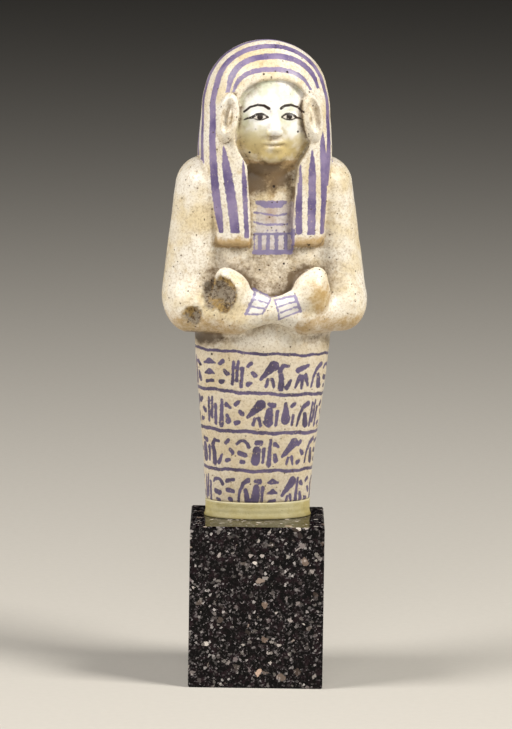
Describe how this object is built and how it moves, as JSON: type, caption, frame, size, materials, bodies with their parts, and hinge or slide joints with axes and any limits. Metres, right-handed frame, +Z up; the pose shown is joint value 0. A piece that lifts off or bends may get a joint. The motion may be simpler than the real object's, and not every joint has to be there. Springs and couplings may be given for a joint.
{
  "type": "ushabti figurine",
  "caption": "Glazed funerary figurine with a striped wig and crossed arms, broken off below, set in an oval collar on a speckled stone block.",
  "frame": {"origin": "centre of the underside of the plinth", "axes": "+Z up, the plinth's faces square to X and Y; the figure faces -Y, turned 10 degrees towards +X"},
  "size_m": [0.0517, 0.0364, 0.161],
  "materials": {
    "faience": "cream faience with violet glaze paint, soft gloss",
    "collar": "pale yellow painted plaster, satin",
    "stone": "polished black stone with pale speckles"
  },
  "bodies": {
    "root": {"figurine": "faience", "mount_collar": "collar", "plinth": "stone"}
  },
  "joints": []
}
